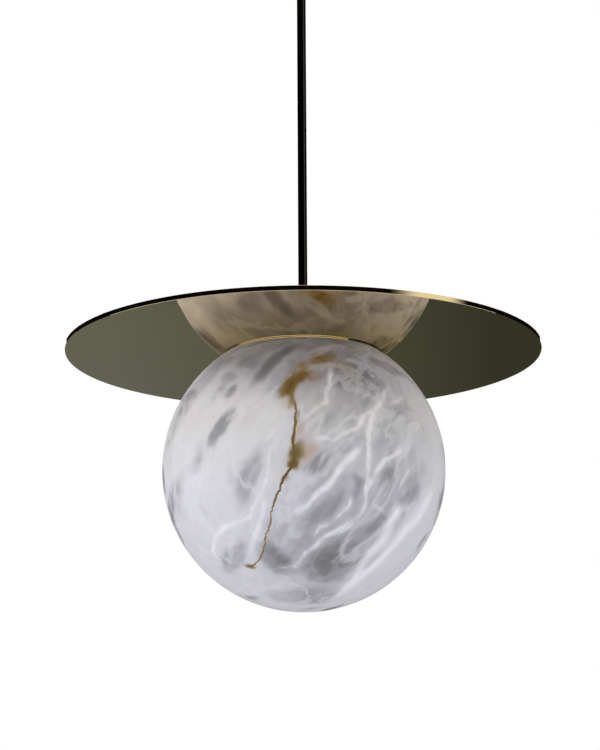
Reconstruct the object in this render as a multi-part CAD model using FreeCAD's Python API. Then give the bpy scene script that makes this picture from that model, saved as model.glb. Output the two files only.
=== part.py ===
import FreeCAD, Part
import math
import os

# Alabaster globe pendant under a polished disc, hung from a rigid stem. Millimetres.
# The ceiling is the plane z = 0, the stem's axis is x = y = 0, and everything hangs below.

V = FreeCAD.Vector
os.makedirs("parts", exist_ok=True)

# --- fits, the same on every piece ------------------------------------------------
running_gap = 0.05        # radial, a pin or screw that turns or slides in its hole
seat_gap = 0.02           # radial, a screwed or pressed piece in its own seat
open_gap = 0.3            # radial, surfaces that pass each other without touching
slot_gap = 0.2            # each side, a screw in a slot
hole_gap = 0.4            # radial, a clearance hole round a screw

# --- ceiling bracket --------------------------------------------------------------
plate = 2.0               # steel strip thickness
bracket_width = 24.0
tab_inset = 5.0           # canopy's outside to the end tabs' outer faces
tab_drop = 18.0           # end tabs that take the canopy screws
seat_half = 18.0          # half length of the lowered middle
seat_drop = 8.0           # how far the middle drops below the ceiling
seat_ramp = 4.0           # length of the ramp down to the middle
bend_round = 0.8
ceiling_hole_spacing = 70.0
ceiling_slot_length = 12.0
ceiling_slot_width = 5.0
wing_margin = 1.5         # the terminals' shelf beyond the terminal block
wing_round = 4.0

# --- canopy -----------------------------------------------------------------------
canopy_radius = 60.0
canopy_height = 35.5
canopy_wall = 1.2
canopy_round = 6.0
canopy_clearance = 3.0    # canopy's inside to the terminal block's corners
ceiling_gap = 0.5         # shadow gap between the canopy's rim and the ceiling
side_screw_radius = 2.0
side_screw_drop = 10.0    # ceiling to the side screws' axis
side_screw_reach = 5.0    # how far a screw's tip stands inside its tab
side_head_radius = 4.5
side_head_length = 5.0

# --- cardan swivel ----------------------------------------------------------------
ball_radius = 20.0
ball_wall = 1.4
ball_rim = 5.0            # the ball's open rim stands this far above the pivot
ear_half_width = 6.0
ear_thickness = 3.0
ring_inner = 6.0
ring_outer = 9.3
ring_height = 7.0
ring_round = 0.8
ear_side_gap = 0.5        # between the ring and each ear
pin_radius = 1.5
fork_bridge = 5.0         # thickness of the fork's bottom
fork_bridge_drop = 8.0    # pivot to the top of the fork's bottom
boss_radius = 7.5
yoke_bridge = 6.0
bolt_radius = 4.0
bolt_head_flats = 13.0
bolt_head_height = 4.0
bolt_washer_radius = 8.0
bolt_washer_thickness = 1.2
collar_height = 8.0
collar_chamfer = 0.8
collar_screw_radius = 1.5
fork_lip = 1.0            # fork metal above the stem's end
grub_inset = 0.2          # grub screws end this far below the surface
corner_bevel = 0.6        # height of a hexagon's bevel, as a share of its corner's overhang

# --- stem and disc ----------------------------------------------------------------
ceiling_to_disc = 480.0   # ceiling to the disc's polished underside
stem_radius = 5.0
stem_bore = 4.0
disc_radius = 255.0
disc_thickness = 5.0
disc_edge = 0.25
hub_radius = 20.0
hub_height = 18.0
hub_foot = 3.0
hub_neck_radius = 9.0
hub_neck_height = 8.0
hub_screw_radius = 2.0
felt_thickness = 0.8
felt_inset = 1.0          # hub's edge to the felt's
lock_washer_radius = 16.0
lock_washer_thickness = 1.5
lock_nut_flats = 17.0
lock_nut_height = 5.0

# --- alabaster globe and its fitter -----------------------------------------------
globe_radius = 150.0
globe_wall = 8.0
globe_cut_radius = 85.0   # radius of the flat at the top
fitter_thickness = 1.0
fitter_lip = 1.0          # mouth of the stone to the ring's bore
fitter_edge_inset = 0.8
gasket_thickness = 0.4
gasket_inset = 1.0        # ring's bore to the gasket's
gasket_edge = 3.0         # stone's edge to the gasket's
stud_count = 3
stud_radius = 2.5
stud_foot = 4.0           # depth of a stud's foot in the stone
stud_tip = 2.0            # how far a stud stands out of its nut
stud_chamfer = 0.6
nut_radius = 8.0
nut_height = 9.0
nut_chamfer = 1.0
nut_flutes = 16
nut_flute_radius = 0.9
nut_washer_radius = 7.0
nut_washer_thickness = 0.8

# --- lampholder -------------------------------------------------------------------
holder_radius = 19.8
holder_wall = 1.5
holder_neck_radius = 8.0
holder_neck_height = 5.0
holder_shoulder = 8.0
holder_cap_height = 26.0
nut_to_holder = 1.5
core_height = 10.0
core_terminal_radius = 1.0
core_terminal_circle = 7.0
core_terminal_depth = 5.0
liner_inner = 13.4
liner_wall = 0.5
sleeve_height = 26.0
sleeve_lip = 2.0
sleeve_chamfer = 1.0
contact_width = 5.0
contact_thickness = 0.5
contact_reach = 7.4       # from the axis to the fixed end of the tongue
contact_pad = 2.7         # from the axis to the tongue's free end
contact_drop = 3.5        # core's underside to the lamp's contact

# --- lamp -------------------------------------------------------------------------
cap_radius = 13.1
cap_height = 21.0
cap_wall = 0.4
tip_radius = 4.5
tip_height = 1.5
tip_cone_height = 3.5
tip_cone_top = 6.0
lamp_collar_height = 37.0
lamp_collar_radius = 27.0
lamp_neck_radius = 14.5
lamp_waist = 1.5          # how far the flare is drawn in at half height
lamp_dome_radius = 30.0
lamp_dome_wall = 1.2

# --- flex and terminals -----------------------------------------------------------
flex_radius = 2.5
flex_bend = 20.0          # from upright to level, four times the flex's thickness
flex_bend_drop = 1.5      # start of the bend, below the pivot
sheath_stub = 1.5         # how far the sheath stands out of its clamp
sheath_inset = 1.0        # sheath's lower end above the stem's
core_radius = 0.8
core_pitch = 1.65
terminal_poles = 3
terminal_pitch = 9.0
terminal_length = 16.0
terminal_base = 5.0
terminal_barrel_radius = 4.2
terminal_bore_radius = 1.6
terminal_turret_radius = 3.4
terminal_turret_drop = 7.5
terminal_flank = 1.0      # block beyond the outer poles' share
terminal_screw_radius = 1.9
terminal_screw_sink = 1.0 # screw's slot above the turret's rim
terminal_screw_inset = 4.0  # each end of the block to its row of screws
terminal_grip = 3.0       # how far a core goes into its terminal
fixing_screw_radius = 1.25
fixing_head_radius = 2.0
screw_proud = 1.0         # how far screws stand out above the shelf
clamp_gap = 0.5           # end of the bend to the clamp
clamp_width = 5.5
clamp_wall = 1.3
clamp_foot_length = 12.0
clamp_foot_thickness = 2.0
clamp_screw_place = 7.0
screw_head_height = 2.2
small_head_radius = 3.0
earth_screw_radius = 2.0
earth_head_radius = 3.8
earth_x = -11.0
earth_y = 20.0
slot_width = 0.8
slot_depth = 0.9

# --- places worked out from the sizes above ---------------------------------------
canopy_bottom = -ceiling_gap - canopy_height
pivot = canopy_bottom + canopy_wall / 2
ball_inner = ball_radius - ball_wall
ear_inner = ring_outer + ear_side_gap
ear_outer = ear_inner + ear_thickness
bracket_seat = -seat_drop - plate
bracket_half_length = canopy_radius - tab_inset
boss_bottom = pivot - math.sqrt(ball_inner**2 - boss_radius**2) + running_gap
stem_top = pivot - fork_bridge_drop - fork_lip
neck_hole = stem_radius + seat_gap
ball_bottom = pivot - math.sqrt(ball_radius**2 - neck_hole**2)
collar_top = ball_bottom - seat_gap

disc_under = -ceiling_to_disc
disc_top = disc_under + disc_thickness
hub_bottom = disc_top + felt_thickness
lock_nut_top = disc_under - lock_washer_thickness
lock_nut_bottom = lock_nut_top - lock_nut_height

fitter_top = disc_under - gasket_thickness
globe_cut = fitter_top - fitter_thickness
cut_height = math.sqrt(globe_radius**2 - globe_cut_radius**2)
globe_centre = globe_cut - cut_height
globe_inner = globe_radius - globe_wall
mouth_radius = math.sqrt(globe_inner**2 - cut_height**2)
fitter_inner = mouth_radius + fitter_lip
stud_circle = (mouth_radius + globe_cut_radius) / 2
nut_bottom = disc_top + nut_washer_thickness
nut_top = nut_bottom + nut_height
stud_top = nut_top + stud_tip

holder_top = lock_nut_bottom - nut_to_holder
holder_cap_bottom = holder_top - holder_cap_height
stem_bottom = holder_top - holder_neck_height - holder_wall
core_top = holder_cap_bottom + core_height
sleeve_bottom = holder_cap_bottom - sleeve_height
lip_top = sleeve_bottom + sleeve_lip
lamp_tip = holder_cap_bottom - contact_drop
cap_top = lamp_tip - tip_height - tip_cone_height
cap_bottom = cap_top - cap_height
dome_top = cap_bottom - lamp_collar_height
dome_centre = dome_top - math.sqrt(lamp_dome_radius**2 - lamp_collar_radius**2)

flex_turn = pivot - flex_bend_drop
flex_level = flex_turn + flex_bend
clamp_start = flex_bend + clamp_gap
clamp_end = clamp_start + clamp_width
sheath_end = clamp_end + sheath_stub
terminal_half = terminal_poles * terminal_pitch / 2 + terminal_flank
pole_places = [(i - (terminal_poles - 1) / 2) * terminal_pitch for i in range(terminal_poles)]
terminal_reach = canopy_radius - canopy_wall - canopy_clearance
terminal_end = math.sqrt(terminal_reach**2 - terminal_half**2)
terminal_start = terminal_end - terminal_length
wing_reach = terminal_end + wing_margin
wing_half_width = terminal_half + wing_margin
terminal_middle = (terminal_start + terminal_end) / 2
terminal_rows = (terminal_start + terminal_screw_inset, terminal_end - terminal_screw_inset)
turret_end = flex_level - terminal_turret_drop
fixing_seat = bracket_seat - terminal_base / 2
clamp_foot_seat = bracket_seat - clamp_foot_thickness
flex_bottom = stem_bottom + sheath_inset
side_screw_level = -side_screw_drop


# --- small workshop operations ----------------------------------------------------

def on_arc(centre_r, centre_z, radius, degrees):
    """Point (r, z) of a circle in the turning plane."""
    turn = math.radians(degrees)
    return centre_r + radius * math.cos(turn), centre_z + radius * math.sin(turn)


def outline(start, steps, place):
    """Closed wire. A step is a point, or a pair of points: an arc through one to the other."""
    edges = []
    here = place(*start)
    for step in list(steps) + [start]:
        if isinstance(step[0], tuple):
            through, end = (place(*point) for point in step)
            edges.append(Part.Arc(here, through, end).toShape())
        else:
            end = place(*step)
            edges.append(Part.LineSegment(here, end).toShape())
        here = end
    return Part.Wire(edges)


def turned(start, *steps):
    """Solid turned about the stem's axis from an outline of (r, z) points."""
    wire = outline(start, steps, lambda r, z: V(r, 0, z))
    return Part.Face(wire).revolve(V(0, 0, 0), V(0, 0, 1), 360)


def rod(radius, start, end):
    """Round bar between two points."""
    return Part.makeCylinder(radius, (end - start).Length, start, end - start)


def tube(outer, inner, low, high):
    """Upright ring or tube about the stem's axis."""
    return turned((inner, low), (outer, low), (outer, high), (inner, high))


def block(x, y, z):
    """Box between pairs of limits."""
    size = (x[1] - x[0], y[1] - y[0], z[1] - z[0])
    return Part.makeBox(*size, V(x[0], y[0], z[0]))


def hexagon(flats, low, high):
    """Upright hexagonal bar, measured across its flats."""
    corner = flats / math.sqrt(3)
    points = [V(corner * math.cos(math.radians(60 * i)), corner * math.sin(math.radians(60 * i)), low)
              for i in range(6)]
    face = Part.Face(Part.makePolygon(points + points[:1]))
    return face.extrude(V(0, 0, high - low))


def chamfered_nut(flats, low, high, bore):
    """Hexagon nut with its corners turned down at both faces."""
    corner = flats / math.sqrt(3)
    side = flats / 2
    bevel = (corner - side) * corner_bevel
    barrel = turned((bore, low), (side, low), (corner, low + bevel), (corner, high - bevel),
                    (side, high), (bore, high))
    return hexagon(flats, low, high).common(barrel)


def around(shape, count):
    """Copies of a shape spaced evenly about the stem's axis."""
    copies = []
    for i in range(count):
        copy = shape.copy()
        copy.rotate(V(0, 0, 0), V(0, 0, 1), 360.0 * i / count)
        copies.append(copy)
    return copies


def slotted_screw(radius, head_radius, head_height, length):
    """Screw that points up, its head's underside at the origin, with a driver slot."""
    shank = rod(radius, V(0, 0, 0), V(0, 0, length))
    head = rod(head_radius, V(0, 0, -head_height), V(0, 0, 0))
    slot = block((-head_radius, head_radius), (-slot_width / 2, slot_width / 2),
                 (-head_height, slot_depth - head_height))
    return head.fuse(shank).cut(slot).removeSplitter()


def sideways(shape, level):
    """An upward screw laid along -X and moved to a level."""
    laid = shape.copy()
    laid.rotate(V(0, 0, 0), V(0, 1, 0), -90)
    laid.translate(V(0, 0, level))
    return laid


def swept(path_edges, radius):
    """Round cord along a path of tangent edges."""
    path = Part.Wire(path_edges)
    start = path_edges[0].firstVertex().Point
    along = path_edges[0].tangentAt(path_edges[0].FirstParameter)
    section = Part.Wire(Part.Circle(start, along, radius).toShape())
    return path.makePipeShell([section], True, False)


def save(name, *solids):
    """One STEP file per piece; like pieces share a file as separate solids."""
    shape = solids[0] if len(solids) == 1 else Part.makeCompound(list(solids))
    shape.exportStep("parts/%s.step" % name)
    print("%-22s %2d solid(s) %12.1f mm3" % (name, len(shape.Solids), shape.Volume))


# --- ceiling bracket --------------------------------------------------------------

def mounting_bracket():
    """Bent strip: flat ends on the ceiling, lowered middle, end tabs and a terminal shelf."""
    mitre = plate * math.tan(math.atan2(seat_drop, seat_ramp) / 2)
    end, ramp_end = bracket_half_length, seat_half + seat_ramp
    right = [(seat_half, -seat_drop), (ramp_end, 0), (end, 0), (end, -tab_drop),
             (end - plate, -tab_drop), (end - plate, -plate), (ramp_end + mitre, -plate),
             (seat_half + mitre, bracket_seat)]
    left = [(-x, z) for x, z in reversed(right)]
    half_width = bracket_width / 2
    wire = outline(right[0], right[1:] + left, lambda x, z: V(x, -half_width, z))
    strip = Part.Face(wire).extrude(V(0, bracket_width, 0))
    bends = [e for e in strip.Edges
             if abs(e.tangentAt(e.FirstParameter).y) > 0.9
             and e.CenterOfMass.z > -tab_drop / 2 - plate]
    strip = strip.makeFillet(bend_round, bends)
    shelf = block((-wing_half_width, wing_half_width), (0, wing_reach), (bracket_seat, -seat_drop))
    corners = [e for e in shelf.Edges
               if abs(e.tangentAt(e.FirstParameter).z) > 0.9 and e.CenterOfMass.y > wing_reach / 2]
    strip = strip.fuse(shelf.makeFillet(wing_round, corners)).removeSplitter()
    strip = strip.cut(rod(bolt_radius + running_gap, V(0, 0, bracket_seat), V(0, 0, -seat_drop)))
    for side in (-1, 1):
        strip = strip.cut(ceiling_slot(side * ceiling_hole_spacing / 2))
        strip = strip.cut(side_screw_hole(side))
    for x, y, radius in shelf_screws():
        strip = strip.cut(rod(radius + seat_gap, V(x, y, bracket_seat), V(x, y, -seat_drop)))
    return strip


def ceiling_slot(centre):
    """Slotted hole for a ceiling screw, long along the strip."""
    radius = ceiling_slot_width / 2
    reach = ceiling_slot_length / 2 - radius
    slot = block((centre - reach, centre + reach), (-radius, radius), (-plate, 0))
    for x in (centre - reach, centre + reach):
        slot = slot.fuse(rod(radius, V(x, 0, -plate), V(x, 0, 0)))
    return slot


def side_screw_hole(side):
    """Tapped hole in an end tab, drawn plain."""
    level = side_screw_level
    return rod(side_screw_radius + running_gap, V(side * (bracket_half_length - plate), 0, level),
               V(side * bracket_half_length, 0, level))


def shelf_screws():
    """Places and radii of the screws that go up into the shelf."""
    return [(-terminal_pitch / 2, terminal_middle, fixing_screw_radius),
            (terminal_pitch / 2, terminal_middle, fixing_screw_radius),
            (clamp_screw_place, clamp_start + clamp_width / 2, fixing_screw_radius),
            (earth_x, earth_y, earth_screw_radius)]


def upright(radius, x, y, low, high):
    """Upright round bar away from the stem's axis."""
    return rod(radius, V(x, y, low), V(x, y, high))


def lengthwise(radius, x, start, end):
    """Round bar along Y at the flex's level."""
    return rod(radius, V(x, start, flex_level), V(x, end, flex_level))


def terminal_block():
    """Three-pole terminal block: barrels side by side, each with two screw turrets below."""
    body = block((-terminal_half, terminal_half), (terminal_start, terminal_end),
                 (bracket_seat - terminal_base, bracket_seat))
    for x in pole_places:
        body = body.fuse(lengthwise(terminal_barrel_radius, x, terminal_start, terminal_end))
        for y in terminal_rows:
            body = body.fuse(upright(terminal_turret_radius, x, y, turret_end, flex_level))
    for x in pole_places:
        body = body.cut(lengthwise(terminal_bore_radius, x, terminal_start, terminal_end))
        for y in terminal_rows:
            body = body.cut(upright(terminal_screw_radius + seat_gap, x, y, turret_end, flex_level))
    for x in (-terminal_pitch / 2, terminal_pitch / 2):
        y = terminal_middle
        body = body.cut(upright(fixing_screw_radius + seat_gap, x, y, fixing_seat, bracket_seat))
        body = body.cut(upright(fixing_head_radius + seat_gap, x, y, turret_end, fixing_seat))
    return body.removeSplitter()


def terminal_screws():
    """Headless slotted screws in the turrets, their tips level with the tops of the conductors' bores."""
    screws = []
    start = turret_end + terminal_screw_sink
    end = flex_level - terminal_bore_radius
    for x in pole_places:
        for y in terminal_rows:
            screw = upright(terminal_screw_radius, x, y, start, end)
            slot = block((x - terminal_screw_radius, x + terminal_screw_radius),
                         (y - slot_width / 2, y + slot_width / 2), (start, start + slot_depth))
            screws.append(screw.cut(slot))
    return screws


def shelf_screw(place, head_radius, seat):
    """Slotted screw up through the shelf, its head's underside at a level."""
    x, y, radius = place
    screw = slotted_screw(radius, head_radius, screw_head_height, screw_proud - seat_drop - seat)
    screw.translate(V(x, y, seat))
    return screw


def cord_clamp():
    """Nylon P-clip that holds the flex under the shelf."""
    start, end = clamp_start, clamp_end
    bore = flex_radius + running_gap
    loop = lengthwise(bore + clamp_wall, 0, start, end)
    leg = block((-clamp_wall, clamp_wall), (start, end), (flex_level, bracket_seat))
    foot = block((-clamp_wall, clamp_foot_length), (start, end), (clamp_foot_seat, bracket_seat))
    clamp = loop.fuse(leg).fuse(foot).removeSplitter()
    clamp = clamp.cut(lengthwise(bore, 0, start, end))
    x, y, radius = shelf_screws()[2]
    return clamp.cut(upright(radius + seat_gap, x, y, clamp_foot_seat, bracket_seat))


# --- cardan swivel ----------------------------------------------------------------

def swivel_yoke():
    """Fixed fork of the cardan joint, two ears down from a bridge that is bolted to the bracket."""
    yoke = block((-ear_outer, ear_outer), (-ear_half_width, ear_half_width), (pivot, bracket_seat))
    yoke = yoke.fuse(rod(ear_half_width, V(-ear_outer, 0, pivot), V(ear_outer, 0, pivot)))
    gap = block((-ear_inner, ear_inner), (-ear_half_width, ear_half_width),
                (pivot - ear_half_width, bracket_seat - yoke_bridge))
    yoke = yoke.cut(gap)
    yoke = yoke.cut(rod(pin_radius + running_gap, V(-ear_outer, 0, pivot), V(ear_outer, 0, pivot)))
    yoke = yoke.cut(rod(bolt_radius + seat_gap, V(0, 0, bracket_seat - yoke_bridge), V(0, 0, bracket_seat)))
    return yoke.removeSplitter()


def swivel_bolt():
    """Hexagon bolt down through the bracket into the yoke."""
    seat = -seat_drop + bolt_washer_thickness
    head = chamfered_nut(bolt_head_flats, seat, seat + bolt_head_height, bolt_radius / 2)
    shank = rod(bolt_radius, V(0, 0, bracket_seat - yoke_bridge), V(0, 0, seat + bolt_head_height))
    return head.fuse(shank).removeSplitter()


def gimbal_ring():
    """Ring between the two forks, drilled crosswise for the pins."""
    ring = tube(ring_outer, ring_inner, pivot - ring_height / 2, pivot + ring_height / 2)
    rims = [e for e in ring.Edges if isinstance(e.Curve, Part.Circle)]
    ring = ring.makeFillet(ring_round, rims)
    for axis in (V(1, 0, 0), V(0, 1, 0)):
        reach = axis * (2 * ring_outer)
        ring = ring.cut(rod(pin_radius, V(0, 0, pivot) - reach, V(0, 0, pivot) + reach))
    return ring


def gimbal_pins():
    """Four pins, pressed in the ring and running in the ears."""
    inner = ring_inner + running_gap + ring_round
    pin = rod(pin_radius, V(inner, 0, pivot), V(ear_outer, 0, pivot))
    return around(pin, 4)


def swivel_fork():
    """Hanging fork of the cardan joint, turned to fit inside the ball, with the stem's socket."""
    bottom = pivot - fork_bridge_drop - fork_bridge
    fork = block((-ear_half_width, ear_half_width), (-ear_outer, ear_outer), (bottom, pivot))
    fork = fork.fuse(rod(ear_half_width, V(0, -ear_outer, pivot), V(0, ear_outer, pivot)))
    gap = block((-ear_half_width, ear_half_width), (-ear_inner, ear_inner),
                (pivot - fork_bridge_drop, pivot + ear_half_width))
    fork = fork.cut(gap)
    fork = fork.common(Part.makeSphere(ball_inner - open_gap, V(0, 0, pivot)))
    fork = fork.fuse(rod(boss_radius, V(0, 0, boss_bottom), V(0, 0, pivot - fork_bridge_drop)))
    fork = fork.cut(rod(pin_radius + running_gap, V(0, -ear_outer, pivot), V(0, ear_outer, pivot)))
    fork = fork.cut(rod(neck_hole, V(0, 0, boss_bottom), V(0, 0, stem_top)))
    fork = fork.cut(rod(stem_bore, V(0, 0, stem_top), V(0, 0, pivot - fork_bridge_drop)))
    return fork.removeSplitter()


def swivel_ball():
    """Hollow ball cover round the cardan joint, centred on the pivot, which closes the canopy's hole."""
    outer_rim = math.sqrt(ball_radius**2 - ball_rim**2)
    inner_rim = math.sqrt(ball_inner**2 - ball_rim**2)
    inner_bottom = pivot - math.sqrt(ball_inner**2 - neck_hole**2)
    return turned((neck_hole, ball_bottom),
                  (on_arc(0, pivot, ball_radius, -30), (outer_rim, pivot + ball_rim)),
                  (inner_rim, pivot + ball_rim),
                  (on_arc(0, pivot, ball_inner, -30), (neck_hole, inner_bottom)))


def ball_collar():
    """Collar that holds the ball up against the fork, with a tapped hole for its screw."""
    low = collar_top - collar_height
    edge = boss_radius - collar_chamfer
    collar = turned((neck_hole, low), (edge, low), (boss_radius, low + collar_chamfer),
                    (boss_radius, collar_top - collar_chamfer), (edge, collar_top), (neck_hole, collar_top))
    level = collar_top - collar_height / 2
    return collar.cut(rod(collar_screw_radius + seat_gap, V(0, 0, level), V(boss_radius, 0, level)))


def grub_screw(radius, start, end, level):
    """Slotted grub screw on the +X side, between two distances from the axis."""
    screw = rod(radius, V(start, 0, level), V(end, 0, level))
    slot = block((end - slot_depth, end), (-radius, radius), (level - slot_width / 2, level + slot_width / 2))
    return screw.cut(slot)


# --- canopy -----------------------------------------------------------------------

def canopy_cup():
    """Spun cup, open at the ceiling, with the ball's hole and two open slots for the side screws."""
    inside = canopy_radius - canopy_wall
    shoulder = canopy_radius - canopy_round
    centre = canopy_bottom + canopy_round
    hole = ball_radius + open_gap
    cup = turned((hole, canopy_bottom), (shoulder, canopy_bottom),
                 (on_arc(shoulder, centre, canopy_round, -45), (canopy_radius, centre)),
                 (canopy_radius, -ceiling_gap), (inside, -ceiling_gap), (inside, centre),
                 (on_arc(shoulder, centre, canopy_round - canopy_wall, -45),
                  (shoulder, canopy_bottom + canopy_wall)),
                 (hole, canopy_bottom + canopy_wall))
    half = side_screw_radius + slot_gap
    bottom = V(0, 0, side_screw_level)
    reach = V(canopy_radius, 0, 0)
    slot = rod(half, bottom - reach, bottom + reach)
    slot = slot.fuse(block((-canopy_radius, canopy_radius), (-half, half), (side_screw_level, 0)))
    return cup.cut(slot)


def canopy_screw(side):
    """Headed side screw through a canopy slot into the bracket's end tab."""
    seat = canopy_radius + running_gap
    length = seat - bracket_half_length + plate + side_screw_reach
    screw = slotted_screw(side_screw_radius, side_head_radius, side_head_length, length)
    screw = sideways(screw, side_screw_level)
    screw.translate(V(seat, 0, 0))
    if side < 0:
        screw.rotate(V(0, 0, 0), V(0, 0, 1), 180)
    return screw


# --- stem and disc ----------------------------------------------------------------

def stem_hub():
    """Turned hub on top of the disc, screwed to the stem."""
    neck = hub_bottom + hub_height - hub_neck_height
    foot = hub_bottom + hub_foot
    sweep = on_arc(hub_radius, neck, min(hub_radius - hub_neck_radius, neck - foot), -135)
    hub = turned((neck_hole, hub_bottom), (hub_radius, hub_bottom), (hub_radius, foot),
                 (sweep, (hub_neck_radius, neck)), (hub_neck_radius, hub_bottom + hub_height),
                 (neck_hole, hub_bottom + hub_height))
    level = hub_bottom + hub_height - hub_neck_height / 2
    return hub.cut(rod(hub_screw_radius + seat_gap, V(0, 0, level), V(hub_neck_radius, 0, level)))


def mirror_disc():
    """Flat disc with a polished underside, drilled for the stem and the globe's studs."""
    rim = disc_radius - disc_edge
    disc = turned((neck_hole, disc_under), (rim, disc_under), (disc_radius, disc_under + disc_edge),
                  (disc_radius, disc_top - disc_edge), (rim, disc_top), (neck_hole, disc_top))
    for hole in stud_holes(stud_radius + hole_gap, disc_under, disc_top):
        disc = disc.cut(hole)
    return disc


def stud_holes(radius, low, high):
    """Round cutters at the globe's studs."""
    return around(rod(radius, V(stud_circle, 0, low), V(stud_circle, 0, high)), stud_count)


# --- globe ------------------------------------------------------------------------

def alabaster_globe():
    """Hollow stone globe, cut off flat at the top, with sockets for the studs' feet."""
    bottom = globe_centre - globe_radius
    stone = turned((0, bottom),
                   (on_arc(0, globe_centre, globe_radius, -20), (globe_cut_radius, globe_cut)),
                   (mouth_radius, globe_cut),
                   (on_arc(0, globe_centre, globe_inner, -20), (0, bottom + globe_wall)))
    for socket in stud_holes(stud_radius + running_gap, globe_cut - stud_foot, globe_cut):
        stone = stone.cut(socket)
    return stone


def fitter_ring():
    """Brass ring cemented to the stone's top, whose edge shows as a fine golden line."""
    ring = tube(globe_cut_radius - fitter_edge_inset, fitter_inner, globe_cut, fitter_top)
    for hole in stud_holes(stud_radius, globe_cut, fitter_top):
        ring = ring.cut(hole)
    return ring


def fitter_gasket():
    """Thin rubber ring between the fitter and the polished disc."""
    gasket = tube(globe_cut_radius - gasket_edge, fitter_inner + gasket_inset, fitter_top, disc_under)
    for hole in stud_holes(stud_radius + hole_gap, fitter_top, disc_under):
        gasket = gasket.cut(hole)
    return gasket


def globe_stud():
    """Stud that stands on the fitter ring, with a foot in the stone and a chamfered tip."""
    stud = turned((0, globe_cut - stud_foot), (stud_radius, globe_cut - stud_foot),
                  (stud_radius, stud_top - stud_chamfer), (stud_radius - stud_chamfer, stud_top),
                  (0, stud_top))
    stud.translate(V(stud_circle, 0, 0))
    return stud


def thumb_nut():
    """Fluted round nut on a stud, resting on its washer."""
    bore = stud_radius + running_gap
    edge = nut_radius - nut_chamfer
    nut = turned((bore, nut_bottom), (edge, nut_bottom), (nut_radius, nut_bottom + nut_chamfer),
                 (nut_radius, nut_top - nut_chamfer), (edge, nut_top), (bore, nut_top))
    groove = rod(nut_flute_radius, V(nut_radius, 0, nut_bottom), V(nut_radius, 0, nut_top))
    for flute in around(groove, nut_flutes):
        nut = nut.cut(flute)
    nut.translate(V(stud_circle, 0, 0))
    return nut


# --- lampholder -------------------------------------------------------------------

def holder_cap():
    """Cap of the lampholder, a neck that screws on the stem and a rounded shoulder."""
    inside = holder_radius - holder_wall
    neck_end = holder_top - holder_neck_height
    centre_r, centre_z = holder_radius - holder_shoulder, neck_end - holder_shoulder
    return turned((neck_hole, holder_top), (neck_hole, neck_end - holder_wall),
                  (centre_r, neck_end - holder_wall),
                  (on_arc(centre_r, centre_z, holder_shoulder - holder_wall, 45), (inside, centre_z)),
                  (inside, holder_cap_bottom), (holder_radius, holder_cap_bottom),
                  (holder_radius, centre_z),
                  (on_arc(centre_r, centre_z, holder_shoulder, 45), (centre_r, neck_end)),
                  (holder_neck_radius, neck_end), (holder_neck_radius, holder_top))


def holder_core():
    """Ceramic block that insulates the contacts, with two terminal holes on top."""
    outer = holder_radius - holder_wall - seat_gap
    core = rod(outer, V(0, 0, holder_cap_bottom), V(0, 0, core_top))
    for x in (-core_terminal_circle, core_terminal_circle):
        core = core.cut(upright(core_terminal_radius, x, 0, core_top - core_terminal_depth, core_top))
    return core


def holder_liner():
    """Brass shell that the lamp's cap screws into, drawn with a plain thread."""
    return tube(liner_inner + liner_wall, liner_inner, lip_top, holder_cap_bottom)


def holder_contact():
    """Springy brass tongue, fixed under the core and bent down to the lamp's tip."""
    top, low, skew = holder_cap_bottom, lamp_tip, contact_thickness / 2
    knee = -contact_reach / 2
    wire = outline((-contact_reach, top),
                   [(-contact_reach, top - contact_thickness), (knee, top - contact_thickness),
                    (-skew, low), (contact_pad, low), (contact_pad, low + contact_thickness),
                    (skew, low + contact_thickness), (knee + skew, top)],
                   lambda x, z: V(x, -contact_width / 2, z))
    return Part.Face(wire).extrude(V(0, contact_width, 0))


def holder_sleeve():
    """Outer sleeve of the lampholder, with a lip that holds the liner."""
    inside = holder_radius - holder_wall
    lip = liner_inner + liner_wall + seat_gap
    return turned((lip, sleeve_bottom), (holder_radius - sleeve_chamfer, sleeve_bottom),
                  (holder_radius, sleeve_bottom + sleeve_chamfer), (holder_radius, holder_cap_bottom),
                  (inside, holder_cap_bottom), (inside, lip_top), (lip, lip_top))


# --- lamp -------------------------------------------------------------------------

def lamp_cap():
    """Metal screw cap of the lamp, thread drawn plain."""
    return tube(cap_radius, cap_radius - cap_wall, cap_bottom, cap_top)


def lamp_insulator():
    """Black insulator cone with the lamp's core, filling the cap."""
    cone_top = cap_top + tip_cone_height
    fill = cap_radius - cap_wall - seat_gap
    return turned((0, cap_bottom), (fill, cap_bottom), (fill, cap_top), (tip_cone_top, cone_top),
                  (0, cone_top))


def lamp_contact():
    """Round centre contact at the lamp's tip."""
    low = lamp_tip - tip_height
    shoulder = tip_radius - tip_height
    return turned((0, low), (tip_radius, low),
                  (on_arc(shoulder, low, tip_height, 45), (shoulder, lamp_tip)), (0, lamp_tip))


def lamp_collar():
    """Plastic body of the lamp, flaring from the cap to the dome."""
    middle = (cap_bottom + dome_top) / 2
    waist = (lamp_neck_radius + lamp_collar_radius) / 2 - lamp_waist
    return turned((0, dome_top), (lamp_collar_radius, dome_top),
                  ((waist, middle), (lamp_neck_radius, cap_bottom)), (0, cap_bottom))


def lamp_dome():
    """Opal dome of the lamp, a thin shell closed by the collar."""
    inner = lamp_dome_radius - lamp_dome_wall
    inner_top = math.sqrt(inner**2 - (dome_top - dome_centre)**2)
    return turned((0, dome_centre - lamp_dome_radius),
                  (on_arc(0, dome_centre, lamp_dome_radius, -30), (lamp_collar_radius, dome_top)),
                  (inner_top, dome_top),
                  (on_arc(0, dome_centre, inner, -30), (0, dome_centre - inner)))


# --- flex -------------------------------------------------------------------------

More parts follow.
